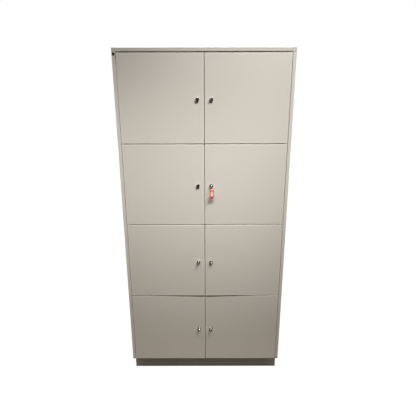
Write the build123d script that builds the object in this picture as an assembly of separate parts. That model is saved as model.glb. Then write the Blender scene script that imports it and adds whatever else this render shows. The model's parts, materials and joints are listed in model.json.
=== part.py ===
from build123d import *
import os

# A steel locker cabinet for phones: two columns of four equal doors on a recessed plinth.
# Millimetres. X runs to the right seen from the front, Y to the back and Z up.
# The origin is on the floor, under the middle of the body, and the doors face -Y.

# Body
WIDTH = 950
DEPTH = 450
HEIGHT = 1950
PLINTH_HEIGHT = 86
ROWS = 4
SHEET = 0.8
BEND = 1.2  # middle radius of a fold
STILE_WIDTH = 18.4
STILE_DEPTH = 40
STILE_FLANGE = 9
RAIL_HEIGHT = 18
RAIL_JOINT = 1.5  # open joint across each stile, level with the underside of the rail
REAR_FLANGE = 20
WALL_FLANGE = 12  # welding flanges of the shelves and the base
WALL_FLANGE_SETBACK = 2
WALL_HOLE_RADIUS = 4.5
WALL_HOLE_SPACING = 700
WALL_HOLE_HEIGHT = 1850

# Plinth
PLINTH_SHEET = 1.2
PLINTH_RECESS = 30
PLINTH_INSET = 8
PLINTH_FLANGE = 26
PLINTH_CORNER = 3

# Doors and the gaps around them
DOOR_SHEET = 1.0
DOOR_DEPTH = 18
DOOR_LIP = 12
DOOR_EDGE_RADIUS = 1.6
SIDE_GAP = 1.8
CENTRE_GAP = 3
TOP_GAP = 5
SEAM_GAP = 3.7
BOTTOM_GAP = 0.85
STOP_SETBACK = 1.5  # from the back of a closed door to the flanges behind it
STIFFENER_WIDTH = 50
STIFFENER_DEPTH = 14
STIFFENER_FROM_END = 18
AJAR = {3: 0.8}  # degrees that the doors of a row stand open, as far as their locks' play lets them

# Pivots: plates with upright pins that enter the ends of the doors
RUNNING = 0.05  # radial clearance of a running fit
PIVOT_INSET = 10
PIVOT_BEHIND_FACE = 6
PIN_RADIUS = 3
PIN_BEVEL = 0.5
PIN_ENGAGEMENT = 8
PLATE_THICKNESS = 2
PLATE_REACH = 19
PLATE_SETBACK = 2
PLATE_CORNER = 4
SWING_ROOM = 15.6  # how far from the pin a turning door still needs room
WASHER_RADIUS = 5.5
WASHER_THICKNESS = 0.7

# Flanges and rubber buttons behind the doors
DIVIDER_FLANGE = 20
SHELF_RISE = 10
SHELF_DROP = 15
SHELF_RETURN = 8
BASE_LIP = 14
TOP_STOP = 10
BUFFER_RADIUS = 4
BUFFER_THICKNESS = 1.4
BUFFER_FROM_END = 32
BUFFER_FROM_CENTRE = 10

# Plugs on the fronts of the stiles
TOP_PLUG = {"radius": 8, "rise": 2.2}
TOP_PLUG_DROP = 30
FOOT_PLUG = {"radius": 2.8, "rise": 1}
PLUG_ROUNDING = 0.9  # share of a plug's rise that is rounded
FOOT_PLUG_HEIGHT = 6
FOOT_PLUG_INSET = 8

# Cam lock
LOCK_FROM_CENTRE = 37.5
HEAD_RADIUS = 9.75
HEAD_LENGTH = 11
HEAD_ROUND = 1.5
BARREL_RADIUS = 8
BARREL_FLATS = 14
BARREL_LENGTH = 26.7
BARREL_CLEARANCE = 0.1
NUT_ACROSS_FLATS = 22
NUT_THICKNESS = 3
PLUG_RADIUS = 5.5
PLUG_RECESS = 1
KEYWAY_WIDTH = 2.2
KEYWAY_HEIGHT = 8.6
KEYWAY_DEPTH = 25
CAM_GAP = 0.3
CAM_THICKNESS = 2
CAM_WIDTH = 14
CAM_REACH = 28
CAM_BOSS_RADIUS = 9
CAM_TIP_RADIUS = 4
SQUARE = 6
SQUARE_SHORT = 0.1  # the square end stops this far inside the cam
SCREW_RADIUS = 1.5
SCREW_LENGTH = 4.5
SCREW_HOLE_DEPTH = 5.5
SCREW_HEAD_RADIUS = 3.5
SCREW_HEAD_HEIGHT = 2.8
SCREW_SLOT = (1, 4.4)
CAM_WASHER_RADIUS = 6
CAM_WASHER_THICKNESS = 0.8

# Keys in five of the locks, and the split ring and tag on the first of them
KEYED_LOCKS = [("right", 2), ("left", 3), ("right", 3), ("left", 4), ("right", 4)]
TAG_ROW = 2
KEY_THICKNESS = 1.9
KEY_SHOULDER = 1.3  # from the plug's face to the shoulder
BLADE_HEIGHT = 8.2
BLADE_LENGTH = 23
BLADE_CUTS = [1.2, 2.4, 0.9, 2.0, 1.5]
BLADE_CUT_SPACING = 3.6
BLADE_FIRST_CUT = 6
BOW_RADIUS = 10.5
BOW_HOLE_RADIUS = 3.6
BOW_HOLE_FROM_CENTRE = 5.2
RING_RADIUS = 9.85
RING_WIRE_RADIUS = 0.9
RING_YAW = 45
RING_LEAN = 13
RING_SLACK = 1.8  # the wire's centre is this far below the middle of the hole in the bow
TAG_SIZE = (22, 56.5)
TAG_POINT = 11  # height of each pointed end
TAG_CORNER = 2
TAG_THICKNESS = 3.6
TAG_LUG_THICKNESS = 1.6
TAG_HOLE_RADIUS = 3
TAG_HOLE_FROM_TOP = 6.4
TAG_SLACK = 1.3  # the middle of the tag's hole is this far below the wire's centre
TAG_LEAN = 3
TAG_WINDOW = (14, 29)
TAG_WINDOW_DEPTH = 0.9

# Worked out from the above
LEFT, RIGHT = -1, 1
SIDES = {"left": LEFT, "right": RIGHT}
FRONT = -DEPTH / 2
BACK = DEPTH / 2
HALF = WIDTH / 2
WALL = HALF - SHEET  # inner face of a side wall
STILE_EDGE = HALF - STILE_WIDTH
STILE_BACK = FRONT + STILE_DEPTH
DOOR_EDGE = STILE_EDGE - SIDE_GAP
DOOR_BACK = FRONT + DOOR_DEPTH
FIRST_TOP = HEIGHT - RAIL_HEIGHT - TOP_GAP
DOORS_TALL = FIRST_TOP - PLINTH_HEIGHT - BOTTOM_GAP - (ROWS - 1) * SEAM_GAP
DOOR_HEIGHT = DOORS_TALL / ROWS
STOP_FACE = DOOR_BACK + STOP_SETBACK
STOP_BACK = STOP_FACE + SHEET
PIVOT_X = DOOR_EDGE - PIVOT_INSET
PIVOT_Y = FRONT + PIVOT_BEHIND_FACE
SWING_EDGE = PIVOT_X - SWING_ROOM
SWING_BACK = PIVOT_Y + SWING_ROOM + 1
HEAD_FRONT = FRONT - HEAD_LENGTH
PLUG_FRONT = HEAD_FRONT + PLUG_RECESS
BARREL_BACK = FRONT + BARREL_LENGTH
CAM_FRONT = BARREL_BACK + CAM_GAP
CAM_BACK = CAM_FRONT + CAM_THICKNESS
SHOULDER = PLUG_FRONT - KEY_SHOULDER
BOW_Y = SHOULDER - BOW_RADIUS + 1
BOW_HOLE_Y = BOW_Y - BOW_HOLE_FROM_CENTRE


def save(name, *solids):
    """Write one sub-part, made of one or more separate solids."""
    shape = solids[0] if len(solids) == 1 else Compound(children=list(solids))
    shape.label = name
    export_step(shape, f"parts/{name}.step")


def block(x, y, z):
    """A block between two values along each axis, given in either order."""
    x0, x1 = sorted(x)
    y0, y1 = sorted(y)
    z0, z1 = sorted(z)
    return Pos((x0 + x1) / 2, (y0 + y1) / 2, (z0 + z1) / 2) * Box(x1 - x0, y1 - y0, z1 - z0)


def bar_y(radius, y0, y1, x, z):
    """A round bar along Y."""
    return Pos(x, (y0 + y1) / 2, z) * Rot(90, 0, 0) * Cylinder(radius, y1 - y0)


def bar_z(radius, z0, z1, x, y):
    """A round bar along Z."""
    return Pos(x, y, (z0 + z1) / 2) * Cylinder(radius, z1 - z0)


def flat_bar(radius, flats, y0, y1, x, z):
    """A round bar along Y with two upright flats."""
    square = block((x - flats / 2, x + flats / 2), (y0, y1), (z - radius, z + radius))
    return bar_y(radius, y0, y1, x, z) & square


def upright_plane(x, y, z):
    """A plane facing the back, whose own Y axis points down."""
    return Plane((x, y, z), x_dir=(1, 0, 0), z_dir=(0, 1, 0))


def door_top(row):
    """Height of a door's top edge. Row 1 is the top one."""
    return FIRST_TOP - (row - 1) * (DOOR_HEIGHT + SEAM_GAP)


def door_bottom(row):
    return door_top(row) - DOOR_HEIGHT


def seam(row):
    """Height of the middle of the gap under a door."""
    return door_bottom(row) - SEAM_GAP / 2


def lock_place(s, row):
    """Where a lock's axis crosses the closed door: across, and up."""
    return s * LOCK_FROM_CENTRE, door_bottom(row) + DOOR_HEIGHT / 2


def ajar(s, row, *solids):
    """What a door carries, turned about the door's pivots as far as it stands open."""
    pins = Axis((s * PIVOT_X, PIVOT_Y, 0), (0, 0, s))
    return [solid.rotate(pins, AJAR.get(row, 0)) for solid in solids]


def side_panel(s):
    """One folded sheet: the stile with its return and flange, the side wall and a rear flange."""
    t = SHEET / 2
    points = [
        (STILE_EDGE + STILE_FLANGE, STILE_BACK - t),
        (STILE_EDGE + t, STILE_BACK - t),
        (STILE_EDGE + t, FRONT + t),
        (HALF - t, FRONT + t),
        (HALF - t, BACK - t),
        (HALF - REAR_FLANGE, BACK - t),
    ]
    path = FilletPolyline(*[(s * x, y) for x, y in points], radius=BEND)
    panel = Pos(0, 0, PLINTH_HEIGHT) * extrude(trace(path, SHEET), HEIGHT - SHEET - PLINTH_HEIGHT)
    joint = (HEIGHT - RAIL_HEIGHT - RAIL_JOINT, HEIGHT - RAIL_HEIGHT)
    across = (s * (STILE_EDGE - 1), s * (HALF - 2 * SHEET))
    return panel - block(across, (FRONT - 1, FRONT + 2 * SHEET), joint)


def top_panel():
    """Top plate over the side walls, with the front rail, a door stop and a rear flange."""
    t = SHEET / 2
    underside = HEIGHT - RAIL_HEIGHT
    plate_from = FRONT + STILE_WIDTH
    rail = FilletPolyline(
        (STOP_BACK, underside + t),
        (FRONT + t, underside + t),
        (FRONT + t, HEIGHT - t),
        (plate_from, HEIGHT - t),
        radius=BEND,
    )
    plate = block((-HALF, HALF), (FRONT, BACK), (HEIGHT - SHEET, HEIGHT))
    plate = fillet(plate.edges().filter_by(Axis.Z), BEND + t)
    between = (-STILE_EDGE, STILE_EDGE)
    plate -= block(between, (FRONT - 1, plate_from), (underside, HEIGHT + 1))
    panel = plate + extrude(Plane.YZ.offset(-STILE_EDGE) * trace(rail, SHEET), 2 * STILE_EDGE)
    stop = (door_top(1) - TOP_STOP, underside)
    panel += block((-SWING_EDGE, SWING_EDGE), (STOP_FACE, STOP_BACK), stop)
    rear = HALF - REAR_FLANGE
    return panel + block((-rear, rear), (BACK - SHEET, BACK), (HEIGHT - REAR_FLANGE, HEIGHT))


def corner_room(s, z):
    """What a level sheet leaves free for the stile, and for the back corner of a turning door."""
    stile = block((s * STILE_EDGE, s * HALF), (FRONT, STILE_BACK + SHEET), z)
    return stile + block((s * SWING_EDGE, s * HALF), (FRONT, SWING_BACK), z)


def wall_flange(s, y_back, z):
    """A flange along a side wall, behind the stile."""
    return block((s * (WALL - SHEET), s * WALL), (STILE_BACK + WALL_FLANGE_SETBACK, y_back), z)


def base_panel():
    """A tray with a front lip that stops the bottom doors, side flanges and a rear flange."""
    z = PLINTH_HEIGHT
    rear = HALF - REAR_FLANGE
    panel = block((-WALL, WALL), (STOP_FACE, BACK), (z, z + SHEET))
    panel += block((-WALL, WALL), (STOP_FACE, STOP_BACK), (z, z + BASE_LIP))
    for s in SIDES.values():
        panel -= corner_room(s, (z - 1, z + BASE_LIP + 1))
        panel -= block((s * rear, s * HALF), (BACK - 2 * SHEET, BACK + 1), (z - 1, z + 1))
        panel += wall_flange(s, BACK - 2 * SHEET, (z, z + WALL_FLANGE))
    return panel + block((-rear, rear), (BACK - SHEET, BACK), (z, z + REAR_FLANGE))


def back_panel():
    """Flat sheet inside the rear flanges, with two holes for fixing the locker to a wall."""
    y0, y1 = BACK - 2 * SHEET, BACK - SHEET
    x = WALL - SHEET
    panel = block((-x, x), (y0, y1), (PLINTH_HEIGHT + SHEET, HEIGHT - SHEET))
    for s in SIDES.values():
        hole_x = s * WALL_HOLE_SPACING / 2
        panel -= bar_y(WALL_HOLE_RADIUS, y0 - 1, y1 + 1, hole_x, WALL_HOLE_HEIGHT)
    return panel


def centre_divider():
    """Two sheets welded back to back: a web, and flanges that the lock cams catch behind."""
    floor, ceiling = PLINTH_HEIGHT + SHEET, HEIGHT - SHEET
    flange = (PLINTH_HEIGHT + BASE_LIP, door_top(1) - TOP_STOP)
    web = block((-SHEET, SHEET), (STOP_BACK, BACK - 2 * SHEET), (floor, ceiling))
    return web + block((-DIVIDER_FLANGE, DIVIDER_FLANGE), (STOP_FACE, STOP_BACK), flange)


def shelf(s, row):
    """The shelf under a compartment. Its front edge is a channel that closes the gap below the door."""
    top = seam(row) + SHELF_RISE
    low = seam(row) - SHELF_DROP
    back = BACK - 2 * SHEET
    across = (s * SHEET, s * WALL)
    plate = block(across, (STOP_BACK, back), (top - SHEET, top)) - corner_room(s, (low, top + 1))
    edge = (s * DIVIDER_FLANGE, s * SWING_EDGE)
    plate += block(edge, (STOP_FACE, STOP_BACK), (low, top))
    plate += block(edge, (STOP_FACE, STOP_FACE + SHELF_RETURN), (low, low + SHEET))
    flange = (top - WALL_FLANGE, top)
    plate += wall_flange(s, back, flange)
    plate += block((s * SHEET, s * 2 * SHEET), (STOP_BACK, back), flange)
    return plate + block(across, (back - SHEET, back), flange)


def plinth():
    """A ring of folded channel, set back under the body."""
    x = HALF - PLINTH_INSET
    y0, y1 = FRONT + PLINTH_RECESS, BACK - PLINTH_INSET
    t, f = PLINTH_SHEET, PLINTH_FLANGE
    ring = block((-x, x), (y0, y1), (0, PLINTH_HEIGHT))
    ring = fillet(ring.edges().filter_by(Axis.Z), PLINTH_CORNER)
    room = block((t - x, x - t), (y0 + t, y1 - t), (t, PLINTH_HEIGHT - t))
    room = fillet(room.edges().filter_by(Axis.Z), PLINTH_CORNER - t)
    middle = block((f - x, x - f), (y0 + f, y1 - f), (-1, PLINTH_HEIGHT + 1))
    return ring - room - middle


def pivot(s, middle, low, high):
    """A plate welded to the stile, and the pin through it from low to high."""
    half = PLATE_THICKNESS / 2
    across = (s * STILE_EDGE, s * (STILE_EDGE - PLATE_REACH))
    plate = block(across, (FRONT + PLATE_SETBACK, SWING_BACK), (middle - half, middle + half))
    by_reach = plate.edges().filter_by(Axis.Z).sort_by(lambda edge: abs(edge.center().X))
    plate = fillet(by_reach[:2], PLATE_CORNER)
    plate -= bar_z(PIN_RADIUS, middle - 2 * half, middle + 2 * half, s * PIVOT_X, PIVOT_Y)
    pin = bar_z(PIN_RADIUS, low, high, s * PIVOT_X, PIVOT_Y)
    return [plate, chamfer(pin.edges().filter_by(GeomType.CIRCLE), PIN_BEVEL)]


def pivots():
    """Five pivots up each side: under the rail, in each gap between doors, and under the body."""
    half = PLATE_THICKNESS / 2
    rail, foot = HEIGHT - RAIL_HEIGHT, PLINTH_HEIGHT
    levels = [(rail - half, door_top(1) - PIN_ENGAGEMENT, rail)]
    levels += [
        (seam(row), door_top(row + 1) - PIN_ENGAGEMENT, door_bottom(row) + PIN_ENGAGEMENT)
        for row in range(1, ROWS)
    ]
    levels.append((foot - half, foot - 2 * half, door_bottom(ROWS) + PIN_ENGAGEMENT))
    return [solid for s in SIDES.values() for level in levels for solid in pivot(s, *level)]


def thrust_washer(s, row):
    """Nylon washer on the pivot plate, for the door to turn on."""
    low = door_bottom(row) - BOTTOM_GAP
    high = low + WASHER_THICKNESS
    washer = bar_z(WASHER_RADIUS, low, high, s * PIVOT_X, PIVOT_Y)
    return washer - bar_z(PIN_RADIUS + RUNNING, low - 1, high + 1, s * PIVOT_X, PIVOT_Y)


def door_buffers(s, row):
    """Two rubber buttons on the divider's flange, for the door to close onto."""
    heights = (door_bottom(row) + BUFFER_FROM_END, door_top(row) - BUFFER_FROM_END)
    x = s * BUFFER_FROM_CENTRE
    return [bar_y(BUFFER_RADIUS, STOP_FACE - BUFFER_THICKNESS, STOP_FACE, x, z) for z in heights]


def plug(x, z, radius, rise):
    """A round cap with a rounded rim, flat on the front of a stile."""
    cap = bar_y(radius, FRONT - rise, FRONT, x, z)
    return fillet(cap.faces().sort_by(Axis.Y)[0].edges(), rise * PLUG_ROUNDING)


def stile_plugs():
    """A large cap high on the left stile, and a small one at the foot of each stile."""
    plugs = [plug(-(HALF - STILE_WIDTH / 2), HEIGHT - TOP_PLUG_DROP, **TOP_PLUG)]
    for s in SIDES.values():
        x = s * (HALF - FOOT_PLUG_INSET)
        plugs.append(plug(x, PLINTH_HEIGHT + FOOT_PLUG_HEIGHT, **FOOT_PLUG))
    return plugs


def rounded_front(x, y, z, radius):
    """A block whose front edges and front-to-back edges are rounded."""
    shape = block(x, y, z)
    edges = shape.faces().sort_by(Axis.Y)[0].edges() + shape.edges().filter_by(Axis.Y)
    return fillet(edges, radius)


def door(s, row):
    """A pan: the skin, four returns and four lips, with a pin hole in each end and the lock hole."""
    t = DOOR_SHEET
    x0, x1 = sorted((s * CENTRE_GAP / 2, s * DOOR_EDGE))
    z0, z1 = door_bottom(row), door_top(row)
    pan = rounded_front((x0, x1), (FRONT, DOOR_BACK), (z0, z1), DOOR_EDGE_RADIUS)
    inside = [(x0 + t, x1 - t), (FRONT + t, DOOR_BACK - t), (z0 + t, z1 - t)]
    pan -= rounded_front(*inside, DOOR_EDGE_RADIUS - t)
    f = DOOR_LIP
    pan -= block((x0 + f, x1 - f), (DOOR_BACK - 2 * t, DOOR_BACK + 1), (z0 + f, z1 - f))
    for z in (z0, z1):
        pan -= bar_z(PIN_RADIUS + RUNNING, z - 2 * t, z + 2 * t, s * PIVOT_X, PIVOT_Y)
    loose = BARREL_CLEARANCE
    hole = (BARREL_RADIUS + loose, BARREL_FLATS + 2 * loose)
    return pan - flat_bar(*hole, FRONT - t, FRONT + 2 * t, *lock_place(s, row))


def door_stiffener(s, row):
    """A hat-shaped channel welded to the back of the skin."""
    t = SHEET / 2
    middle = s * (CENTRE_GAP / 2 + DOOR_EDGE) / 2
    skin, crown = FRONT + DOOR_SHEET + t, FRONT + STIFFENER_DEPTH - t
    inner, outer = STIFFENER_WIDTH / 2, STIFFENER_WIDTH / 2 + WALL_FLANGE
    half_hat = [(inner, crown), (inner, skin), (outer, skin)]
    points = [(middle - x, y) for x, y in reversed(half_hat)]
    points += [(middle + x, y) for x, y in half_hat]
    section = trace(FilletPolyline(*points, radius=BEND), SHEET)
    long = DOOR_HEIGHT - 2 * STIFFENER_FROM_END
    return Pos(0, 0, door_bottom(row) + STIFFENER_FROM_END) * extrude(section, long)


def lock_housing(s, row):
    """The chromed head and barrel in one casting, and the hexagon nut behind the skin."""
    x, z = lock_place(s, row)
    head = bar_y(HEAD_RADIUS, HEAD_FRONT, FRONT, x, z)
    housing = fillet(head.faces().sort_by(Axis.Y)[0].edges(), HEAD_ROUND)
    housing += flat_bar(BARREL_RADIUS, BARREL_FLATS, FRONT, BARREL_BACK, x, z)
    housing -= bar_y(PLUG_RADIUS + RUNNING, HEAD_FRONT - 1, BARREL_BACK + 1, x, z)
    skin = FRONT + DOOR_SHEET
    hexagon = RegularPolygon(NUT_ACROSS_FLATS / 2, 6, major_radius=False)
    nut = extrude(upright_plane(x, skin, z) * hexagon, NUT_THICKNESS)
    nut -= bar_y(BARREL_RADIUS + RUNNING, skin - 1, skin + NUT_THICKNESS + 1, x, z)
    return [housing, nut]


def lock_plug(s, row):
    """The turning core: the keyway in front, and a square end with a screw hole behind."""
    x, z = lock_place(s, row)
    end = CAM_BACK - SQUARE_SHORT
    half = SQUARE / 2
    core = bar_y(PLUG_RADIUS, PLUG_FRONT, CAM_FRONT, x, z)
    core += block((x - half, x + half), (CAM_FRONT, end), (z - half, z + half))
    w, h = KEYWAY_WIDTH / 2, KEYWAY_HEIGHT / 2
    core -= block((x - w, x + w), (PLUG_FRONT - 1, PLUG_FRONT + KEYWAY_DEPTH), (z - h, z + h))
    return core - bar_y(SCREW_RADIUS + RUNNING, end - SCREW_HOLE_DEPTH, end + 1, x, z)


def cam_screw(x, z):
    """Screw with its washer, holding the cam on the plug."""
    head = CAM_BACK + SCREW_HEAD_HEIGHT
    screw = bar_y(SCREW_RADIUS, CAM_BACK - SCREW_LENGTH, head, x, z)
    screw += bar_y(CAM_WASHER_RADIUS, CAM_BACK, CAM_BACK + CAM_WASHER_THICKNESS, x, z)
    screw += bar_y(SCREW_HEAD_RADIUS, CAM_BACK, head, x, z)
    for a, b in (SCREW_SLOT, SCREW_SLOT[::-1]):
        screw -= block((x - a / 2, x + a / 2), (head - 1, head + 1), (z - b / 2, z + b / 2))
    return screw


def lock_cam(s, row):
    """The steel cam, hanging straight down while the door is free to open, and its screw."""
    x, z = lock_place(s, row)
    arm = Pos(0, CAM_REACH / 2) * Rectangle(CAM_WIDTH, CAM_REACH)
    arm = fillet(arm.vertices().sort_by(Axis.Y)[2:], CAM_TIP_RADIUS)
    hole = SQUARE + 2 * RUNNING
    outline = Circle(CAM_BOSS_RADIUS) + arm - Rectangle(hole, hole)
    return [extrude(upright_plane(x, CAM_FRONT, z) * outline, CAM_THICKNESS), cam_screw(x, z)]


def key(s, row):
    """A flat key pushed home, with its bow upright."""
    x, z = lock_place(s, row)
    t = KEY_THICKNESS / 2
    h = BLADE_HEIGHT / 2
    tip = PLUG_FRONT + BLADE_LENGTH
    blade = block((x - t, x + t), (SHOULDER - 1, tip), (z - h, z + h))
    blade = chamfer(blade.faces().sort_by(Axis.Y)[-1].edges().filter_by(Axis.X), h / 2)
    for i, depth in enumerate(BLADE_CUTS):
        at = Pos(x, PLUG_FRONT + BLADE_FIRST_CUT + i * BLADE_CUT_SPACING, z - h)
        blade -= at * Rot(45, 0, 0) * Box(2 * t + 1, depth, depth)
    side = Plane((x - t, BOW_Y, z), x_dir=(0, 1, 0), z_dir=(1, 0, 0))
    outline = Circle(BOW_RADIUS) - Pos(-BOW_HOLE_FROM_CENTRE, 0) * Circle(BOW_HOLE_RADIUS)
    return blade + extrude(side * outline, 2 * t)


def ring_frame():
    """Where the ring's wire passes through the bow, turned as the ring hangs: its Z runs along the ring."""
    x, z = lock_place(RIGHT, TAG_ROW)
    return Pos(x, BOW_HOLE_Y, z - RING_SLACK) * Rot(0, -RING_LEAN, 0) * Rot(0, 0, -RING_YAW)


def key_ring():
    """Split ring of round wire, through the bow and the tag."""
    return ring_frame() * Pos(0, 0, -RING_RADIUS) * Rot(90, 0, 0) * Torus(RING_RADIUS, RING_WIRE_RADIUS)


def key_tag():
    """Plastic tag with pointed ends and a sunk window on each face, thinner around its hole."""
    wide, long = TAG_SIZE
    half, straight = wide / 2, long / 2 - TAG_POINT
    corners = [(0, long / 2), (half, straight), (half, -straight)]
    corners += [(-x, -y) for x, y in corners]
    outline = make_face(Polyline(*corners, close=True))
    outline = fillet(outline.vertices(), TAG_CORNER)
    tag = extrude(Plane.XZ * outline, TAG_THICKNESS / 2, both=True)
    hole_z = long / 2 - TAG_HOLE_FROM_TOP
    lug_low = hole_z - 2 * TAG_HOLE_RADIUS
    for face in (-1, 1):
        lug = (face * TAG_LUG_THICKNESS / 2, face * TAG_THICKNESS)
        tag -= block((-half, half), lug, (lug_low, long / 2))
        sunk = (face * (TAG_THICKNESS / 2 - TAG_WINDOW_DEPTH), face * TAG_THICKNESS)
        w, h = TAG_WINDOW[0] / 2, TAG_WINDOW[1] / 2
        middle = lug_low - TAG_HOLE_RADIUS / 2 - h
        tag -= block((-w, w), sunk, (middle - h, middle + h))
    tag -= bar_y(TAG_HOLE_RADIUS, -TAG_THICKNESS, TAG_THICKNESS, 0, hole_z)
    wire = (ring_frame() * Pos(0, 0, -2 * RING_RADIUS)).position
    hang = Pos(wire) * Rot(0, TAG_LEAN, 0)
    return hang * Pos(0, 0, -hole_z - TAG_SLACK) * tag


os.makedirs("parts", exist_ok=True)

save("top_panel", top_panel())
save("base_panel", base_panel())
save("back_panel", back_panel())
save("centre_divider", centre_divider())
save("plinth", plinth())
save("hinge_pivots", *pivots())
save("stile_plugs", *stile_plugs())

places = [(side, s, row) for side, s in SIDES.items() for row in range(1, ROWS + 1)]
save("thrust_washers", *[thrust_washer(s, row) for _, s, row in places])
save("door_buffers", *[button for _, s, row in places for button in door_buffers(s, row)])

for side, s in SIDES.items():
    save(f"side_panel_{side}", side_panel(s))
    save(f"shelves_{side}", *[shelf(s, row) for row in range(1, ROWS)])

for side, s, row in places:
    save(f"door_{side}_{row}", *ajar(s, row, door(s, row)))
    save(f"door_stiffener_{side}_{row}", *ajar(s, row, door_stiffener(s, row)))
    save(f"lock_housing_{side}_{row}", *ajar(s, row, *lock_housing(s, row)))
    save(f"lock_plug_{side}_{row}", *ajar(s, row, lock_plug(s, row)))
    save(f"lock_cam_{side}_{row}", *ajar(s, row, *lock_cam(s, row)))

for side, row in KEYED_LOCKS:
    save(f"key_{side}_{row}", *ajar(SIDES[side], row, key(SIDES[side], row)))
save("key_ring", key_ring())
save("key_tag", key_tag())
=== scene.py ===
import json
import math

import bpy
from mathutils import Matrix, Vector


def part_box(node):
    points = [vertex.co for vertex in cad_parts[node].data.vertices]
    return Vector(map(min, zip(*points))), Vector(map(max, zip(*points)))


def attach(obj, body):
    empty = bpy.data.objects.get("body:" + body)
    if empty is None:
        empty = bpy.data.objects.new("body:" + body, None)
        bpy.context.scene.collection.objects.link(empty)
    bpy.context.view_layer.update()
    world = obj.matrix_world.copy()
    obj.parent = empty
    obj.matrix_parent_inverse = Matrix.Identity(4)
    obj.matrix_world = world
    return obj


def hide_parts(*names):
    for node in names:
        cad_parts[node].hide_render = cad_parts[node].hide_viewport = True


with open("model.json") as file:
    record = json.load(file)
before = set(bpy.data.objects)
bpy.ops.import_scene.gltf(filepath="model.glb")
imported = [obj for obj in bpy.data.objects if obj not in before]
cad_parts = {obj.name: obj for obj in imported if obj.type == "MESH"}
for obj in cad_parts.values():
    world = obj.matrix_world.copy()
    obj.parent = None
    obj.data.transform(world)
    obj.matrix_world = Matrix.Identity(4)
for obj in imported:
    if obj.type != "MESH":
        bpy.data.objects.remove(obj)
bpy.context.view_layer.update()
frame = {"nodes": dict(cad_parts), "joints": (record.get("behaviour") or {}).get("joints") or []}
nodes = frame["nodes"]
bpy.context.scene.view_settings.view_transform = "Standard"


# The camera is held at eye height close in front of the cabinet, a little right of
# its middle, and looks down at it.
EYE = (0.0194, -1.9268, 1.5326)
LOOKS_DOWN = 14.065
HELD_ASKEW = 0.1
turn = (math.radians(90 - LOOKS_DOWN), math.radians(HELD_ASKEW), 0)
bpy.ops.object.camera_add(location=EYE, rotation=turn)
camera = bpy.context.object
camera.name = "eye_height_camera"
camera.data.lens = 26.315
camera.data.sensor_width = 36
bpy.context.scene.camera = camera


# The plinth is a ring of folded channel, 1.2 mm thick and powder coated dark grey.
# It stands on the floor and carries the body, set back under its front. Along its foot it
# is darker, painted shade, and rougher; its ends are paler, painted light from the sides.
class Wire:
    """An output of a shader node. Arithmetic on it adds Math nodes to the same material."""

    def __init__(self, tree, socket):
        self.tree = tree
        self.socket = socket

    def node(self, kind, settings, inputs, output=0):
        """Add a node of any kind: its settings first, then the values or wires it takes."""
        added = self.tree.nodes.new("ShaderNode" + kind)
        for name, value in settings.items():
            setattr(added, name, value)
        for name, value in inputs.items():
            self.feed(added.inputs[name], value)
        return Wire(self.tree, added.outputs[output])

    def feed(self, socket, value):
        if isinstance(value, Wire):
            self.tree.links.new(value.socket, socket)
        else:
            socket.default_value = value

    def maths(self, operation, *values):
        """A Math node on this wire and what follows it."""
        return self.node("Math", {"operation": operation}, dict(enumerate((self, *values))))

    def __add__(self, other):
        return self.maths("ADD", other)

    def __sub__(self, other):
        return self.maths("SUBTRACT", other)

    def __rsub__(self, other):
        return self.maths("MULTIPLY", -1) + other

    def __mul__(self, other):
        return self.maths("MULTIPLY", other)

    def __gt__(self, other):
        return self.maths("GREATER_THAN", other)

    def __abs__(self):
        return self.maths("ABSOLUTE")

    __radd__ = __add__
    __rmul__ = __mul__


def finish(name, **constants):
    """A new material, its shader, and the wire of a place on the object."""
    made = bpy.data.materials.new(name)
    made.use_nodes = True
    tree = made.node_tree
    shader = tree.nodes["Principled BSDF"]
    for socket, value in constants.items():
        shader.inputs[socket.replace("_", " ")].default_value = value
    coordinates = tree.nodes.new("ShaderNodeTexCoord")
    return made, shader, Wire(tree, coordinates.outputs["Object"])


def axes(place):
    """How far across, back and up a place is."""
    return [place.node("SeparateXYZ", {}, {0: place}, output=axis) for axis in range(3)]


def noise(place, scale, detail=2.0):
    """Cloudy noise from 0 to 1; scale is in clouds per metre."""
    return place.node("TexNoise", {}, {"Vector": place, "Scale": scale, "Detail": detail})


def rise(value, start, end):
    """A smooth rise from 0 at the start to 1 at the end."""
    settings = {"interpolation_type": "SMOOTHSTEP"}
    return value.node("MapRange", settings, {"Value": value, 1: start, 2: end, 3: 0.0, 4: 1.0})


def between(share, low, high):
    """A colour between two colours, each of them three numbers or a wire."""
    ends = [colour if isinstance(colour, Wire) else (*colour, 1) for colour in (low, high)]
    return share.node("Mix", {"data_type": "RGBA"}, {0: share, 6: ends[0], 7: ends[1]}, output=2)


def dent(shader, height, depth):
    """Let a height from 0 to 1 stand up by a depth in metres."""
    bump = height.node("Bump", {}, {"Strength": 1.0, "Distance": depth, "Height": height})
    height.feed(shader.inputs["Normal"], bump)


def tinted(colour, factor):
    """A colour made lighter or darker by a factor."""
    return tuple(channel * factor for channel in colour)


def peel(place):
    """The fine orange peel of a powder coat."""
    return noise(place, 650.0, 1.0)


def coat(made, *names):
    """Give CAD nodes a material."""
    for name in names:
        for slot in nodes[name].material_slots:
            slot.material = made


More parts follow.
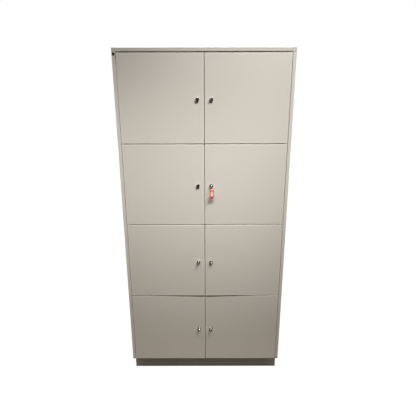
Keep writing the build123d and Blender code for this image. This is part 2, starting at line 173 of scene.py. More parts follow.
PLINTH_GREY = (0.274, 0.265, 0.229)
END_LIGHT_GREY = (0.525, 0.53, 0.495)
FOOT_SHADE_TINT = 0.3
END_LIGHT_WIDTH = 0.075
FOOT_HEIGHT = 0.03
PEEL_DEPTH = 0.00004
plinth_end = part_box("plinth")[1].x
plinth_paint, shader, place = finish("dark_powder_coat", IOR=1.5)
across, _, up = axes(place)
# The paler ends are painted light: the light from the sides that reaches past the recess.
painted_end_light = rise(abs(across), plinth_end - END_LIGHT_WIDTH, plinth_end)
# The dark band along the foot is painted shade where the plinth meets the floor; it is rougher there too.
foot_shade = (0.7 + 0.3 * noise(place, 35.0, 4.0)) * (1 - rise(up, 0.3 * FOOT_HEIGHT, FOOT_HEIGHT))
grey = between(noise(place, 9.0, 4.0), tinted(PLINTH_GREY, 0.94), tinted(PLINTH_GREY, 1.06))
grey = between(0.9 * painted_end_light, grey, END_LIGHT_GREY)
place.feed(shader.inputs["Base Color"], between(0.85 * foot_shade, grey, tinted(PLINTH_GREY, FOOT_SHADE_TINT)))
place.feed(shader.inputs["Roughness"], 0.5 + 0.2 * foot_shade + 0.08 * (noise(place, 11.0) - 0.5))
dent(shader, peel(place), PEEL_DEPTH)
coat(plinth_paint, "plinth")


# The body is folded from 0.8 mm steel sheet and powder coated a warm light grey. Spot
# welds join the shelves, top, base and back to the walls, and leave dimples. The rail
# over the doors and the heads of the stiles beside it are a shade darker.
SIDES = ("left", "right")
ROWS = (1, 2, 3, 4)
LIGHT_GREY = (0.66, 0.618, 0.545)
WELD_SPACING = 0.09
WELD_RADIUS = 0.0035
WELD_DEPTH = 0.00025
WELDS_UNDER_SHELF = 0.006
WELDS_FROM_EDGE = 0.01
FIRST_WELD_DEEP = 0.01
FIRST_WELD_UP = 0.03
SKIN = 0.0002
RAIL_ABOVE_DOORS = 0.004
RAIL_BACK = -0.2
RAIL_SHADE = 0.12
seam_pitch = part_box("door_left_1")[0].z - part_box("door_left_2")[0].z


def from_marks(value, first, spacing):
    """How far a value is from the nearest of evenly spaced marks."""
    return (value - first).maths("PINGPONG", spacing / 2)


def distance(right, above):
    """How far a place is, from how far it is in two directions at right angles."""
    return (right * right + above * above).maths("SQRT")


def powder_coat(name, colour):
    """Paint baked on from powder: its material, shader and place, and its faintly uneven colour."""
    made, shader, place = finish(name, IOR=1.5)
    tone = between(noise(place, 3.5, 4.0), tinted(colour, 0.975), tinted(colour, 1.025))
    place.feed(shader.inputs["Roughness"], 0.45 + 0.1 * (noise(place, 11.0, 4.0) - 0.5))
    return made, shader, place, tone


body_paint, shader, place, tone = powder_coat("light_powder_coat", LIGHT_GREY)
across, deep, up = axes(place)
wall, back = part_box("side_panel_right")[1].xy
on_wall = abs(across) > wall - SKIN
on_back = deep > back - SKIN
along_wall = from_marks(deep, FIRST_WELD_DEEP, WELD_SPACING)
along_back = from_marks(up, FIRST_WELD_UP, WELD_SPACING)
along = on_wall * along_wall + on_back * along_back
shelf_welds = from_marks(up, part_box("shelves_left")[1].z - WELDS_UNDER_SHELF, seam_pitch)
beside = on_wall * shelf_welds + on_back * abs(abs(across) - (wall - WELDS_FROM_EDGE))
dimple = (on_wall + on_back) * (1 - rise(distance(along, beside), 0.0, WELD_RADIUS))
rail_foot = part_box("door_left_1")[1].z + RAIL_ABOVE_DOORS
on_rail = (up > rail_foot) * (1 - (deep > RAIL_BACK))
place.feed(shader.inputs["Base Color"], between(RAIL_SHADE * on_rail, tone, (0, 0, 0)))
dent(shader, (PEEL_DEPTH / WELD_DEPTH) * peel(place) - dimple, WELD_DEPTH)
folded = ["top_panel", "base_panel", "back_panel", "centre_divider"]
folded += [f"{piece}_{side}" for piece in ("side_panel", "shelves") for side in SIDES]
coat(body_paint, *folded)


# The pivots are steel plates welded to the stiles and painted with the body, in a darker
# copy of its grey that is painted shade for the gaps they sit in. Their upright pins are
# bare zinc, because the doors turn on them.
def joint_named(name):
    """A joint of the frame, by its name."""
    return next(joint for joint in frame["joints"] if joint["name"] == name)


ZINC = (0.56, 0.56, 0.54)
PIN_RADIUS = 0.0032
pin_x, pin_y, _ = joint_named("door_right_1_hinge")["pos_m"]
# The plates' grey is the body's darkened: painted shade for the gaps around the doors.
pivot_finish, shader, place, tone = powder_coat("painted_plate_and_bare_pin", tinted(LIGHT_GREY, 0.8))
across, deep, up = axes(place)
beside = abs(across) - pin_x
behind = deep - pin_y
bare = 1 - (distance(beside, behind) > PIN_RADIUS)
place.feed(shader.inputs["Base Color"], between(bare, tone, ZINC))
place.feed(shader.inputs["Metallic"], bare)
dent(shader, peel(place), PEEL_DEPTH)
coat(pivot_finish, "hinge_pivots")


# The doors turn on natural nylon washers, stamped from sheet. They lie loose on the
# pivot plates, around the pins.
def moulded(name, colour, roughness, **constants):
    """A moulded plastic or rubber, faintly uneven in tone, gloss and skin."""
    made, shader, place = finish(name, **constants)
    cloud = noise(place, 60.0, 3.0)
    place.feed(shader.inputs["Base Color"], between(cloud, tinted(colour, 0.94), tinted(colour, 1.06)))
    place.feed(shader.inputs["Roughness"], roughness + 0.1 * (noise(place, 300.0) - 0.5))
    dent(shader, noise(place, 900.0), 0.00002)
    return made


coat(moulded("natural_nylon", (0.72, 0.7, 0.64), 0.45), "thrust_washers")


# Soft rubber buttons are glued to the divider's flanges, two for each door, and the
# doors close on them.
coat(moulded("black_rubber", (0.02, 0.02, 0.02), 0.8), "door_buffers")


# Black plastic plugs with domed heads are pressed into holes in the stiles: one high on
# the left, and a small one at the foot of each.
coat(moulded("black_plastic", (0.02, 0.02, 0.022), 0.4), "stile_plugs")


# Each door is a pan folded from 1 mm sheet, with a hat-shaped stiffener welded to its
# back. Its paint is lighter along the folds, a painted highlight, and dark in the gaps, painted
# shade, and keys have scuffed it beside and below the locks. One door has a dark fleck, and
# one a rubbed patch.
EDGE_HIGHLIGHT_WIDTH = 0.007
EDGE_HIGHLIGHT_GAIN = 1.12
GAP_SHADE_WITHIN = 0.0019
GAP_SHADE_GREY = (0.36, 0.32, 0.26)
HALF_SIDE_GAP = 0.001
SCRATCH = {"grey": (0.25, 0.24, 0.22), "strength": 0.06, "below_lock": 0.018, "from": 0.008, "reach": 0.055}
MARK_GREY = (0.12, 0.11, 0.1)
FLECK = {"across": -0.2027, "up": 0.6521, "radius": 0.006, "strength": 0.16}
RUB = {"across": 0.0875, "up": 0.2662, "radius": 0.017, "strength": 0.05}
doors = [f"door_{side}_{row}" for side in SIDES for row in ROWS]
door_paint, shader, place, tone = powder_coat("door_powder_coat", LIGHT_GREY)
across, _, up = axes(place)
gap_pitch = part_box("door_right_1")[1].x + HALF_SIDE_GAP
seam_height = (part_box("door_left_1")[0].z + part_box("door_left_2")[1].z) / 2
from_fold = from_marks(across, 0, gap_pitch).maths("MINIMUM", from_marks(up, seam_height, seam_pitch))
# The lighter bands along the folds are a painted highlight.
painted_edge_highlight = 1 - rise(from_fold, 0.4 * EDGE_HIGHLIGHT_WIDTH, 1.4 * EDGE_HIGHLIGHT_WIDTH)
# The dark grey within the gaps is painted shade.
painted_gap_shade = 1 - (from_fold > GAP_SHADE_WITHIN)
painted = between(painted_gap_shade, between(painted_edge_highlight, tone, tinted(LIGHT_GREY, EDGE_HIGHLIGHT_GAIN)), GAP_SHADE_GREY)
lock_low, lock_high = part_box("lock_housing_right_1")
lock_middle = (lock_low + lock_high) / 2
from_lock = abs(across) - lock_middle.x
below_lock = from_marks(up, lock_middle.z - SCRATCH["below_lock"], seam_pitch)
near_lock = (from_lock * from_lock + 0.3 * below_lock * below_lock).maths("SQRT")
scratches = rise(noise(place, 420.0, 4.0), 0.52, 0.62)
scratches = scratches * (1 - rise(near_lock, SCRATCH["from"], SCRATCH["reach"]))
marked = between(SCRATCH["strength"] * scratches, painted, SCRATCH["grey"])
for mark in (FLECK, RUB):
    away = distance(across - mark["across"], up - mark["up"])
    share = mark["strength"] * (1 - rise(away, 0.3 * mark["radius"], mark["radius"]))
    marked = between(share, marked, MARK_GREY)
place.feed(shader.inputs["Base Color"], marked)
dent(shader, peel(place), PEEL_DEPTH)
coat(door_paint, *doors)
coat(body_paint, *[door.replace("door", "door_stiffener") for door in doors])


# The lock housing is die cast and chrome plated: a round head outside the door, and a
# threaded barrel with two flats through it, which a hexagon nut holds. It is modelled
# once, with its axis on Y and the door's face at zero, and copied to each door.
def turned(name, rings, points):
    """A closed wall turned about Y through rings of (radius, depth), joined to the first."""
    bpy.ops.object.select_all(action="DESELECT")
    (radius, depth), *others = rings
    bpy.ops.mesh.primitive_circle_add(
        vertices=points, radius=radius, location=(0, depth, 0), rotation=(math.radians(90), 0, 0)
    )
    made = bpy.context.object
    made.name = name
    bpy.ops.object.transform_apply()
    bpy.ops.object.mode_set(mode="EDIT")
    for next_radius, next_depth in (*others, rings[0]):
        bpy.ops.mesh.extrude_region_move(TRANSFORM_OT_translate={"value": (0, next_depth - depth, 0)})
        grown = next_radius / radius
        bpy.ops.transform.resize(value=(grown, 1, grown), center_override=(0, next_depth, 0))
        radius, depth = next_radius, next_depth
    bpy.ops.mesh.select_all(action="SELECT")
    bpy.ops.mesh.remove_doubles(threshold=0.00001)
    bpy.ops.mesh.normals_make_consistent(inside=False)
    bpy.ops.object.mode_set(mode="OBJECT")
    return made


def smoothed(piece, angle=30):
    """Smooth shading, except across edges sharper than an angle."""
    bpy.ops.object.select_all(action="DESELECT")
    piece.select_set(True)
    bpy.context.view_layer.objects.active = piece
    bpy.ops.object.shade_smooth_by_angle(angle=math.radians(angle))
    return piece


def copied(pattern, name, place, made_of, body, *replaced):
    """A copy of a pattern with a mesh of its own, put in its place to ride on a body for CAD nodes."""
    made = pattern.copy()
    made.data = pattern.data.copy()
    made.data.transform(place)
    made.data.materials.clear()
    made.data.materials.append(made_of)
    made.name = name
    bpy.context.collection.objects.link(made)
    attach(made, body)
    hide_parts(*replaced)
    return made


MM = 0.001
HEAD = {"radius": 9.75, "front": -11, "round": 1.5, "round_steps": 6, "back_chamfer": 0.3}
BORE = 5.55
MOUTH = ((0, 0.6), (0.5, 0.1), (0.9, 0.1), (1.1, 0))
BARREL = {"radius": 8, "back": 26.7, "half_flats": 7, "chamfer": 0.7}
THREAD = {"from": 4.6, "teeth": 22, "pitch": 1, "root": 7.6}
NUT = {"half_flats": 11, "face_radius": 10.6, "from": 1, "to": 4, "bore": 8.05}
APART = 0.1  # less than this apart, two points count as level

rings = [(BORE, BARREL["back"])]
rings += [(BORE + wider, HEAD["front"] + deeper) for wider, deeper in MOUTH]
for step in range(HEAD["round_steps"] + 1):
    around = math.radians(90 * step / HEAD["round_steps"])
    out = HEAD["radius"] - HEAD["round"] * (1 - math.sin(around))
    rings.append((out, HEAD["front"] + HEAD["round"] * (1 - math.cos(around))))
rings += [(HEAD["radius"], -HEAD["back_chamfer"]), (HEAD["radius"] - HEAD["back_chamfer"], 0)]
rings += [(BARREL["radius"], 0)]
for tooth in range(THREAD["teeth"]):
    crest = THREAD["from"] + tooth * THREAD["pitch"]
    rings += [(BARREL["radius"], crest), (THREAD["root"], crest + THREAD["pitch"] / 2)]
rings += [(BARREL["radius"] - BARREL["chamfer"], BARREL["back"])]
housing = turned("housing_pattern", [(radius * MM, depth * MM) for radius, depth in rings], 64)
flat = BARREL["half_flats"] * MM
for vertex in housing.data.vertices:
    if vertex.co.y > -APART * MM and vertex.co.xz.length < (BARREL["radius"] + APART) * MM:
        vertex.co.x = max(-flat, min(flat, vertex.co.x))

half = NUT["half_flats"]
rings = [(NUT["bore"], NUT["from"]), (NUT["face_radius"], NUT["from"]), (half, NUT["from"] + APART)]
rings += [(half, NUT["to"] - APART), (NUT["face_radius"], NUT["to"]), (NUT["bore"], NUT["to"])]
nut = turned("nut_pattern", [(radius * MM, depth * MM) for radius, depth in rings], 48)
for vertex in nut.data.vertices:
    out = vertex.co.xz.length
    if out > (NUT["face_radius"] + APART) * MM:
        around = math.degrees(math.atan2(vertex.co.z, vertex.co.x)) % 60 - 30
        corner = half * MM / math.cos(math.radians(around))
        chamfer = (corner - NUT["face_radius"] * MM) * math.tan(math.radians(30))
        nearer_door = vertex.co.y < (NUT["from"] + NUT["to"]) / 2 * MM
        vertex.co.y = NUT["from"] * MM + chamfer if nearer_door else NUT["to"] * MM - chamfer
        vertex.co.xz = vertex.co.xz * (corner / out)
bpy.ops.object.select_all(action="DESELECT")
nut.select_set(True)
housing.select_set(True)
bpy.context.view_layer.objects.active = housing
bpy.ops.object.join()
smoothed(housing)


def chrome_plate(name, colour, roughness):
    """Bright plate with a haze of fine handling scratches."""
    made, shader, place = finish(name, Metallic=1.0)
    haze = noise(place, 500.0, 4.0)
    place.feed(shader.inputs["Base Color"], between(haze, tinted(colour, 0.92), tinted(colour, 1.04)))
    place.feed(shader.inputs["Roughness"], roughness + 0.08 * haze)
    dent(shader, noise(place, 1200.0), 0.000004)
    return made


def lock_frame(side, row):
    """Where a lock sits on its door, and how its door stands, from the joint of its plug."""
    joint = joint_named(f"lock_{side}_{row}_turn")
    inward = Vector(joint["axis"]) if side == "right" else -Vector(joint["axis"])
    turned_by = Vector((0, 1, 0)).rotation_difference(inward)
    return Matrix.Translation(joint["pos_m"]) @ turned_by.to_matrix().to_4x4()


chrome = chrome_plate("bright_chrome", (0.45, 0.44, 0.42), 0.08)
for side in SIDES:
    for row in ROWS:
        name = f"lock_housing_{side}_{row}"
        where = lock_frame(side, row)
        chromed = copied(housing, f"chromed_{name}", where, chrome, f"door_{side}_{row}", name)
bpy.data.objects.remove(housing)


# The plug turns in the housing, with the keyway in its face and the cam screwed to
# its back end. Plug, cam, screw and washer are steel, zinc plated.
def plated_steel(name, colour, roughness):
    """Plated steel: a cloudy tone and a fine grain."""
    made, shader, place = finish(name, Metallic=1.0)
    cloud = noise(place, 160.0, 3.0)
    place.feed(shader.inputs["Base Color"], between(cloud, tinted(colour, 0.9), tinted(colour, 1.08)))
    place.feed(shader.inputs["Roughness"], roughness + 0.14 * (noise(place, 420.0) - 0.5))
    dent(shader, noise(place, 1500.0), 0.00001)
    return made


core_steel = plated_steel("turned_steel", (0.42, 0.41, 0.38), 0.3)
zinc_plate = plated_steel("zinc_plated_steel", ZINC, 0.38)
coat(core_steel, *[f"lock_plug_{side}_{row}" for side in SIDES for row in ROWS])
coat(zinc_plate, *[f"lock_cam_{side}_{row}" for side in SIDES for row in ROWS])


# The keys are stamped from 1.9 mm steel and nickel plated: a round bow with a raised
# rim and a hole, and a blade with milled grooves and the cuts of its lock. Five of the
# locks hold one. The key is modelled in the lock's own place, then copied.
KEY_HALF_THICK = 0.95
BOW = {"radius": 10.5, "middle": -20.8, "hole_off": -5.2}
BLADE = {"from": -13, "to": 13, "half_high": 4.1}
CUTS = {"first": -4, "spacing": 3.6, "depths": (1.2, 2.4, 0.9, 2.0, 1.5)}
GROOVE = {"deep": 0.35, "from": -10}
GROOVES = ({"face": 1, "middle": -0.7, "wide": 1.5}, {"face": -1, "middle": 1.2, "wide": 1.3})
BEYOND = 1  # how far a cutter reaches past the piece that it cuts
KEYED_LOCKS = (("right", 2), ("left", 3), ("right", 3), ("left", 4), ("right", 4))


def block(name, low, high):
    """A block between two corners in millimetres, left in edit mode with all of it selected."""
    bpy.ops.object.select_all(action="DESELECT")
    bpy.ops.mesh.primitive_cube_add(size=1)
    made = bpy.context.object
    made.name = name
    bpy.ops.object.mode_set(mode="EDIT")
    size = [(b - a) * MM for a, b in zip(low, high)]
    bpy.ops.transform.resize(value=size, center_override=(0, 0, 0))
    middle = [(a + b) / 2 * MM for a, b in zip(low, high)]
    bpy.ops.transform.translate(value=middle)
    return made


def combined(piece, other, operation):
    """Add a second closed shape to a piece, or cut it out, and remove the second shape."""
    bpy.ops.object.select_all(action="DESELECT")
    bpy.context.view_layer.objects.active = piece
    joined = piece.modifiers.new(operation.lower(), "BOOLEAN")
    joined.operation = operation
    joined.solver = "EXACT"
    joined.object = other
    bpy.ops.object.modifier_apply(modifier=joined.name)
    bpy.data.objects.remove(other)


high = BLADE["half_high"]
low_corner = (-KEY_HALF_THICK, BLADE["from"], -high)
blade = block("blade", low_corner, (KEY_HALF_THICK, BLADE["to"], high))
for tip_face in ((0, 1, 1), (0, 1, -1)):
    bpy.ops.mesh.select_all(action="SELECT")
    tip = (0, BLADE["to"] * MM, tip_face[2] * high / 2 * MM)
    bpy.ops.mesh.bisect(plane_co=tip, plane_no=tip_face, clear_outer=True, use_fill=True)
bpy.ops.object.mode_set(mode="OBJECT")
for number, cut_depth in enumerate(CUTS["depths"]):
    corner = (KEY_HALF_THICK + BEYOND, cut_depth / 2, cut_depth / 2)
    cutter = block("cutter", [-size for size in corner], corner)
    bpy.ops.transform.rotate(value=math.radians(45), orient_axis="X", center_override=(0, 0, 0))
    along = CUTS["first"] + number * CUTS["spacing"]
    bpy.ops.transform.translate(value=(0, along * MM, -high * MM))
    bpy.ops.object.mode_set(mode="OBJECT")
    combined(blade, cutter, "DIFFERENCE")
for groove in GROOVES:
    face = groove["face"] * KEY_HALF_THICK
    low_corner = (face - GROOVE["deep"], GROOVE["from"], groove["middle"] - groove["wide"] / 2)
    high_corner = (face + GROOVE["deep"], BLADE["to"] + BEYOND, groove["middle"] + groove["wide"] / 2)
    cutter = block("cutter", low_corner, high_corner)
    bpy.ops.object.mode_set(mode="OBJECT")
    combined(blade, cutter, "DIFFERENCE")

# The bow's half profile: radius, half thickness, and 1 where it is centred on the hole.
HALF_BOW = ((10.5, 0.7, 0), (10.3, 0.95, 0), (9.5, 0.95, 0), (9.2, 0.6, 0))
HALF_BOW += ((3.95, 0.6, 1), (3.6, 0.45, 1), (3.6, 0, 1))
bpy.ops.object.select_all(action="DESELECT")
bow_middle = Vector((0, BOW["middle"] * MM, 0))
bpy.ops.mesh.primitive_circle_add(
    vertices=72, radius=BOW["radius"] * MM, location=bow_middle, rotation=(0, math.radians(90), 0)
)
bow = bpy.context.object
bow.name = "key_pattern"
bpy.ops.object.transform_apply()
bpy.ops.object.mode_set(mode="EDIT")
radius, out, off = BOW["radius"], 0, 0
for next_radius, next_out, next_off in HALF_BOW:
    step = ((next_out - out) * MM, (next_off - off) * BOW["hole_off"] * MM, 0)
    bpy.ops.mesh.extrude_region_move(TRANSFORM_OT_translate={"value": step})
    middle = bow_middle + Vector((next_out * MM, next_off * BOW["hole_off"] * MM, 0))
    grown = next_radius / radius
    bpy.ops.transform.resize(value=(1, grown, grown), center_override=middle)
    radius, out, off = next_radius, next_out, next_off
bpy.ops.object.mode_set(mode="OBJECT")
other_half = bow.modifiers.new("other_half", "MIRROR")
other_half.merge_threshold = 0.00001
bpy.ops.object.modifier_apply(modifier=other_half.name)
bpy.ops.object.mode_set(mode="EDIT")
bpy.ops.mesh.select_all(action="SELECT")
bpy.ops.mesh.normals_make_consistent(inside=False)
bpy.ops.object.mode_set(mode="OBJECT")
combined(bow, blade, "UNION")
smoothed(bow)

nickel = plated_steel("nickel_plate", (0.86, 0.83, 0.76), 0.2)
for side, row in KEYED_LOCKS:
    name = f"key_{side}_{row}"
    key = copied(bow, f"cut_{name}", lock_frame(side, row), nickel, name, name)
bpy.data.objects.remove(bow)


# The split ring is flat spring wire wound almost twice round, zinc plated. It hangs
# turned in the bow's hole, and the tag hangs from its lowest point.
RING = {"radius": 9.85, "wide": 1.2, "thick": 0.6, "start": 0.1, "rise": 0.64, "turns": 1.92, "steps": 110}
RING_SLACK = 1.8
RING_LEAN = math.radians(-13)
RING_YAW = math.radians(-45)
wide, thick = RING["wide"] / 2, RING["thick"] / 2
first = -RING["rise"] * RING["turns"] / 2
low_corner = (RING["radius"] - wide, -RING["start"], first - thick)
ring = block("split_ring", low_corner, (RING["radius"] + wide, RING["start"], first + thick))
bpy.ops.mesh.select_all(action="DESELECT")
bpy.ops.object.mode_set(mode="OBJECT")
for face in ring.data.polygons:
    face.select = face.normal.y > 0.5
bpy.ops.object.mode_set(mode="EDIT")
share_of_turn = RING["turns"] / RING["steps"]
climb = (0, 0, RING["rise"] * share_of_turn * MM)
wound = math.radians(-360 * share_of_turn)
for _ in range(RING["steps"]):
    bpy.ops.mesh.extrude_region_move(TRANSFORM_OT_translate={"value": climb})
    bpy.ops.transform.rotate(value=wound, orient_axis="Z", center_override=(0, 0, 0))
bpy.ops.mesh.select_all(action="SELECT")
bpy.ops.mesh.normals_make_consistent(inside=False)
bpy.ops.object.mode_set(mode="OBJECT")
hang = Matrix.Translation(joint_named("key_ring_swing")["pos_m"])
hang = hang @ Matrix.Translation((0, 0, -RING_SLACK * MM))
hang = hang @ Matrix.Rotation(RING_LEAN, 4, "Y") @ Matrix.Rotation(RING_YAW, 4, "Z")
hang = hang @ Matrix.Translation((0, 0, -RING["radius"] * MM)) @ Matrix.Rotation(math.radians(90), 4, "X")
ring.data.transform(hang)
ring.data.materials.append(plated_steel("ring_plate", ZINC, 0.25))
smoothed(ring, 40)
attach(ring, "key_ring")
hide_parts("key_ring")


# The tag is a flat case moulded in red translucent plastic, pointed at both ends and
# thin around its hole. Each face has a sunk window for a label.
TAG = {"half_wide": 11, "half_long": 28.25, "half_thick": 1.8, "point": 11}
TAG_ROUNDED = {"tip": 2, "shoulder": 0.83, "rim": 0.45}
LUG = {"half_thick": 0.8, "low": 15.85}
WINDOW = {"half_wide": 7, "half_long": 14.5, "middle": -0.15, "depth": 0.9, "corner": 1}
TAG_HOLE = {"up": 21.85, "radius": 3}
TAG_CUTTER = {"half_wide": 12, "half_thick": 3, "top": 30, "bore": 10}  # all past the case
TAG_LEAN = math.radians(3)
corner = (TAG["half_wide"], TAG["half_thick"], TAG["half_long"])
tag = block("red_tag_case", [-size for size in corner], corner)
for right in (-1, 1):
    for above in (-1, 1):
        bpy.ops.mesh.select_all(action="SELECT")
        shoulder = (right * TAG["half_wide"] * MM, 0, above * (TAG["half_long"] - TAG["point"]) * MM)
        slope = (right * TAG["point"], 0, above * TAG["half_wide"])
        bpy.ops.mesh.bisect(plane_co=shoulder, plane_no=slope, clear_outer=True, use_fill=True)
bpy.ops.mesh.select_all(action="SELECT")
bpy.ops.mesh.remove_doubles(threshold=0.00001)
bpy.ops.object.mode_set(mode="OBJECT")


def select_edges(piece, chosen):
    """Go to edit mode with only those edges selected whose two ends pass a test."""
    bpy.context.tool_settings.mesh_select_mode = (False, True, False)
    bpy.ops.object.mode_set(mode="EDIT")
    bpy.ops.mesh.select_all(action="DESELECT")
    bpy.ops.object.mode_set(mode="OBJECT")
    points = piece.data.vertices
    for edge in piece.data.edges:
        edge.select = chosen(*(points[index].co for index in edge.vertices))
    bpy.ops.object.mode_set(mode="EDIT")


select_edges(tag, lambda a, b: abs(a.y - b.y) > MM and abs(a.x) < MM)
bpy.ops.mesh.bevel(offset=TAG_ROUNDED["tip"] * MM, segments=8)
bpy.ops.object.mode_set(mode="OBJECT")
select_edges(tag, lambda a, b: abs(a.y - b.y) > MM and abs(a.x) > (TAG["half_wide"] - APART) * MM)
bpy.ops.mesh.bevel(offset=TAG_ROUNDED["shoulder"] * MM, segments=4)
bpy.ops.object.mode_set(mode="OBJECT")
select_edges(tag, lambda a, b: abs(a.y - b.y) < APART * MM)
bpy.ops.mesh.bevel(offset=TAG_ROUNDED["rim"] * MM, segments=3)
bpy.ops.object.mode_set(mode="OBJECT")
for face in (-1, 1):
    outside = face * TAG_CUTTER["half_thick"]
    near, far = sorted((face * LUG["half_thick"], outside))
    wide = TAG_CUTTER["half_wide"]
    cutter = block("cutter", (-wide, near, LUG["low"]), (wide, far, TAG_CUTTER["top"]))
    bpy.ops.object.mode_set(mode="OBJECT")
    combined(tag, cutter, "DIFFERENCE")
    near, far = sorted((face * (TAG["half_thick"] - WINDOW["depth"]), outside))
    low_corner = (-WINDOW["half_wide"], near, WINDOW["middle"] - WINDOW["half_long"])
    cutter = block("cutter", low_corner, (WINDOW["half_wide"], far, WINDOW["middle"] + WINDOW["half_long"]))
    bpy.ops.object.mode_set(mode="OBJECT")
    select_edges(cutter, lambda a, b: abs(a.y - b.y) > MM)
    bpy.ops.mesh.bevel(offset=WINDOW["corner"] * MM, segments=4)
    bpy.ops.object.mode_set(mode="OBJECT")
    combined(tag, cutter, "DIFFERENCE")
bpy.ops.object.select_all(action="DESELECT")
bpy.ops.mesh.primitive_cylinder_add(
    vertices=40,
    radius=TAG_HOLE["radius"] * MM,
    depth=TAG_CUTTER["bore"] * MM,
    location=(0, 0, TAG_HOLE["up"] * MM),
    rotation=(math.radians(90), 0, 0),
)
bore = bpy.context.object
bpy.ops.object.transform_apply()
combined(tag, bore, "DIFFERENCE")
tag_place = Matrix.Translation(joint_named("key_tag_swing")["pos_m"]) @ Matrix.Rotation(TAG_LEAN, 4, "Y")
tag_place = tag_place @ Matrix.Translation((0, 0, -TAG_HOLE["up"] * MM))
tag.data.transform(tag_place)
smoothed(tag)
TAG_RED = (0.78, 0.075, 0.05)
clear = {"Subsurface_Weight": 0.3, "Subsurface_Scale": 0.002, "Coat_Weight": 0.3}
tag.data.materials.append(moulded("red_plastic", TAG_RED, 0.25, **clear))
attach(tag, "key_tag")
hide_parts("key_tag")


# A blank paper label with printed rules lies in each window of the tag, cut a little
# smaller than the window. Its clear cover is a coat on the paper.
LABEL = {"half_wide": 6.8, "half_long": 14.3, "gap": 0.02, "thick": 0.23, "corner": 0.9}
PAPER = ((0.72, 0.64, 0.53), (0.82, 0.73, 0.61))
RULE = {"first": 1.1675, "spacing": 0.007, "slope": 0.052, "half_wide": 0.00015, "share": 0.35}
RULE_GREY = (0.35, 0.33, 0.36)
label_paper, shader, place = finish("label_paper", Coat_Weight=0.4, Coat_Roughness=0.1)
across, _, up = axes(place)
from_rule = from_marks(up + RULE["slope"] * across, RULE["first"], RULE["spacing"])
rule = 1 - rise(from_rule, RULE["half_wide"], 2 * RULE["half_wide"])
fibre = between(noise(place, 900.0, 3.0), *PAPER)
place.feed(shader.inputs["Base Color"], between(RULE["share"] * rule, fibre, RULE_GREY))
place.feed(shader.inputs["Roughness"], 0.6 + 0.1 * noise(place, 700.0))
dent(shader, noise(place, 1400.0), 0.00001)
for face, name in ((-1, "front_label"), (1, "back_label")):
    under = TAG["half_thick"] - WINDOW["depth"] + LABEL["gap"]
    near, far = sorted((face * under, face * (under + LABEL["thick"])))
    low_corner = (-LABEL["half_wide"], near, WINDOW["middle"] - LABEL["half_long"])
    label = block(name, low_corner, (LABEL["half_wide"], far, WINDOW["middle"] + LABEL["half_long"]))
    bpy.ops.object.mode_set(mode="OBJECT")
    select_edges(label, lambda a, b: abs(a.y - b.y) > APART * MM)
    bpy.ops.mesh.bevel(offset=LABEL["corner"] * MM, segments=4)
    bpy.ops.object.mode_set(mode="OBJECT")
    label.data.transform(tag_place)
    label.data.materials.append(label_paper)
    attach(label, "key_tag")


# The floor and the room behind are plain white to the eye, while only soft lamps
# light the cabinet. The floor keeps the cabinet's shadow.
def seen_directly(wire):
    """1 for what the camera, a reflection or a clear pane shows, and 0 for light on the object."""
    path = wire.tree.nodes.new("ShaderNodeLightPath")
    kinds = ("Is Camera Ray", "Is Glossy Ray", "Is Transmission Ray")
    camera_ray, glossy_ray, through_ray = (Wire(wire.tree, path.outputs[kind]) for kind in kinds)
    return (camera_ray + glossy_ray + through_ray) > 0.5


FLOOR_BROWN = ((0.22, 0.148, 0.077), (0.25, 0.172, 0.09))
NEAR_WHITE = (0.88, 0.9, 0.94)
WHITE = (1, 1, 1)
bpy.ops.object.select_all(action="DESELECT")
bpy.ops.mesh.primitive_plane_add(size=80, location=(0, 0, 0))
floor = bpy.context.object
floor.name = "floor"
pale_floor, shader, place = finish("pale_floor", Roughness=0.9)
place.feed(shader.inputs["Base Color"], between(noise(place, 40.0), *FLOOR_BROWN))
from_cabinet = place.node("VectorMath", {"operation": "LENGTH"}, {0: place}, output=1)
glow = between(rise(from_cabinet, 0.5, 2.5), NEAR_WHITE, WHITE)
place.feed(shader.inputs["Emission Color"], glow)
place.feed(shader.inputs["Emission Strength"], seen_directly(place))
floor.data.materials.append(pale_floor)

AMBIENT = 0.01
world = bpy.data.worlds.new("white_room")
bpy.context.scene.world = world
world.use_nodes = True
background = world.node_tree.nodes["Background"]
room = Wire(world.node_tree, background.outputs[0])
background.inputs["Color"].default_value = (*WHITE, 1)
room.feed(background.inputs["Strength"], seen_directly(room) * (1 - AMBIENT) + AMBIENT)


# A tube on the ceiling in front lights the doors from the right, and a nearer one adds
# to it from the left. Two soft lamps behind the cabinet light its sides and back.
def lamp(name, place, aim, size, watts, spread):
    """A soft rectangular lamp, aimed at a point."""
    bpy.ops.object.light_add(type="AREA", location=place)
    made = bpy.context.object
    made.name = name
    direction = Vector(aim) - Vector(place)
    made.rotation_euler = direction.to_track_quat("-Z", "Y").to_euler()
    made.data.shape = "RECTANGLE"
    made.data.size, made.data.size_y = size
    made.data.energy = watts
    made.data.spread = math.radians(spread)
    made.visible_camera = False


TUBE_PLACE = (0.718, -1.477, 3.178)
TUBE_WIDE = 0.25
lamp("ceiling_tube", TUBE_PLACE, (-0.053, -0.225, 0.845), (1.222, TUBE_WIDE), watts=13.3, spread=73.2)
lamp("nearer_tube", (-0.346, -1.2, 2.6), (-0.154, -0.225, 1.004), (1.6, TUBE_WIDE), watts=1.95, spread=40.4)
lamp("left_rear_lamp", (-2.2, 1.6, 1.9), (-0.3, 0.1, 1.0), (1.2, 1.2), watts=11, spread=80)
lamp("right_rear_lamp", (2.2, 1.6, 1.9), (0.3, 0.1, 1.0), (1.2, 1.2), watts=11, spread=80)


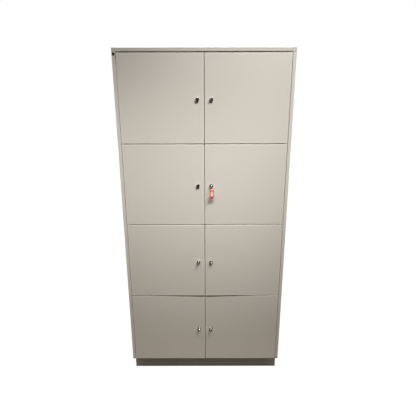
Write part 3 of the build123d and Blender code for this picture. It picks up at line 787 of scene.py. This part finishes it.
# The row of ceiling tubes goes on to the left of the lamp. Only bright metal shows
# it, so it lights nothing itself.
NEXT_TUBE_LONG = 1.3
NEXT_TUBE_ACROSS = -0.545
TUBE_TILT = -30
TUBE_GLOW = 25
bpy.ops.object.select_all(action="DESELECT")
bpy.ops.mesh.primitive_plane_add(size=1, location=(0, 0, 0))
far_tube = bpy.context.object
far_tube.name = "tube_in_reflections"
bpy.ops.object.mode_set(mode="EDIT")
bpy.ops.transform.resize(value=(NEXT_TUBE_LONG, TUBE_WIDE, 1))
bpy.ops.transform.rotate(value=math.radians(TUBE_TILT), orient_axis="X", center_override=(0, 0, 0))
bpy.ops.transform.translate(value=(NEXT_TUBE_ACROSS, *TUBE_PLACE[1:]))
bpy.ops.object.mode_set(mode="OBJECT")
glow_white, _, _ = finish("tube_glow", Emission_Color=(1, 0.98, 0.94, 1), Emission_Strength=TUBE_GLOW)
far_tube.data.materials.append(glow_white)
far_tube.visible_camera = False
far_tube.visible_diffuse = False
far_tube.visible_shadow = False


# A dark screen lies on the floor in front of the cabinet and curves up behind the
# camera and over it. It stands for the unlit room, and only reflections see it.
SCREEN = {"away": 4.2, "foot": 0.02, "wide": 8, "ends_behind": 0.6, "ends_before": 0.45}
bpy.ops.object.select_all(action="DESELECT")
bpy.ops.mesh.primitive_circle_add(
    vertices=48, radius=SCREEN["away"], location=(0, 0, SCREEN["foot"]), rotation=(0, math.radians(90), 0)
)
screen = bpy.context.object
screen.name = "unlit_room"
bpy.ops.object.transform_apply()
bpy.ops.object.mode_set(mode="EDIT")
bpy.ops.mesh.select_all(action="SELECT")
bpy.ops.mesh.extrude_region_move(TRANSFORM_OT_translate={"value": (SCREEN["wide"], 0, 0)})
bpy.ops.mesh.select_all(action="SELECT")
bpy.ops.transform.translate(value=(-SCREEN["wide"] / 2, 0, 0))
for cut_away in ((0, 0, -1), (0, 1, 0)):
    bpy.ops.mesh.select_all(action="SELECT")
    end = (0, SCREEN["ends_behind"], SCREEN["foot"])
    bpy.ops.mesh.bisect(plane_co=end, plane_no=cut_away, clear_outer=True)
bpy.ops.object.mode_set(mode="OBJECT")
select_edges(screen, lambda a, b: max(a.z, b.z) < 2 * SCREEN["foot"] and max(a.y, b.y) < 0)
over_floor = (0, SCREEN["away"] - SCREEN["ends_before"], 0)
bpy.ops.mesh.extrude_region_move(TRANSFORM_OT_translate={"value": over_floor})
bpy.ops.object.mode_set(mode="OBJECT")
screen_black, _, _ = finish("unlit_screen", Base_Color=(0.02, 0.02, 0.018, 1), Roughness=1.0)
screen.data.materials.append(screen_black)
screen.visible_camera = False
screen.visible_diffuse = False
screen.visible_shadow = False
